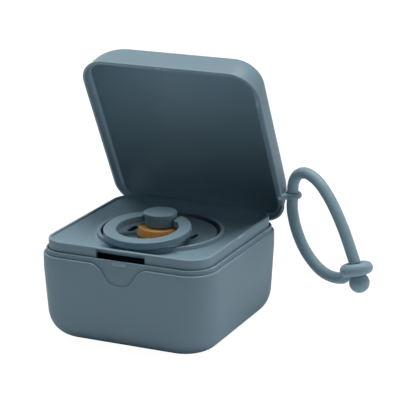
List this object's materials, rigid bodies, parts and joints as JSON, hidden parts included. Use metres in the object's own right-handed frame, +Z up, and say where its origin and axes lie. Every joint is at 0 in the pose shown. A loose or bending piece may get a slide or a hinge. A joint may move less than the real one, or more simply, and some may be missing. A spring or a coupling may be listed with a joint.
{
  "type": "pacifier box",
  "caption": "Rounded travel box with a hinged lid, a lift-out tray holding a round pacifier with a ring handle, and a looped carrying strap.",
  "frame": {"origin": "on the ground under the middle of the case", "axes": "+Z up, the front with the thumb notch faces -Y, the hinge runs along X at the back"},
  "size_m": [0.1226, 0.0928, 0.1097],
  "materials": {
    "case": "fine matt, moulded",
    "lid": "fine matt, moulded",
    "pin": "smooth",
    "tray": "fine matt, moulded",
    "shield": "satin",
    "teat": "smooth natural rubber, amber",
    "handle": "satin",
    "strap": "matt silicone"
  },
  "bodies": {
    "case": {"case_shell": "case", "hinge_pin": "pin"},
    "lid": {"lid_shell": "lid"},
    "tray": {"insert_tray": "tray"},
    "pacifier": {"pacifier_shield": "shield", "pacifier_teat": "teat", "pacifier_knob": "handle"},
    "handle": {"pacifier_ring": "handle"},
    "strap": {"strap_cord_upper": "strap", "strap_cord_lower": "strap", "strap_ring_end": "strap", "strap_ball_end": "strap"}
  },
  "joints": [
    {"name": "lid_hinge", "type": "hinge", "parent": "case", "child": "lid", "pos_m": [0, 0.0401, 0.0352], "axis": [-1, 0, 0], "range_deg": [-62.7, 47.3]},
    {"name": "tray_lift", "type": "slide", "parent": "case", "child": "tray", "axis": [0, 0, 1], "range_m": [0, 0.02]},
    {"name": "pacifier_lift", "type": "slide", "parent": "tray", "child": "pacifier", "axis": [0, 0, 1], "range_m": [0, 0.04]},
    {"name": "ring_swing", "type": "hinge", "parent": "pacifier", "child": "handle", "pos_m": [0, 0, 0.0447], "axis": [-1, 0, 0], "range_deg": [0, 165]},
    {"name": "strap_swing", "type": "hinge", "parent": "lid", "child": "strap", "pos_m": [0.0422, 0.0392, 0.0494], "axis": [0, 0, 1], "range_deg": [-15, 70]}
  ]
}
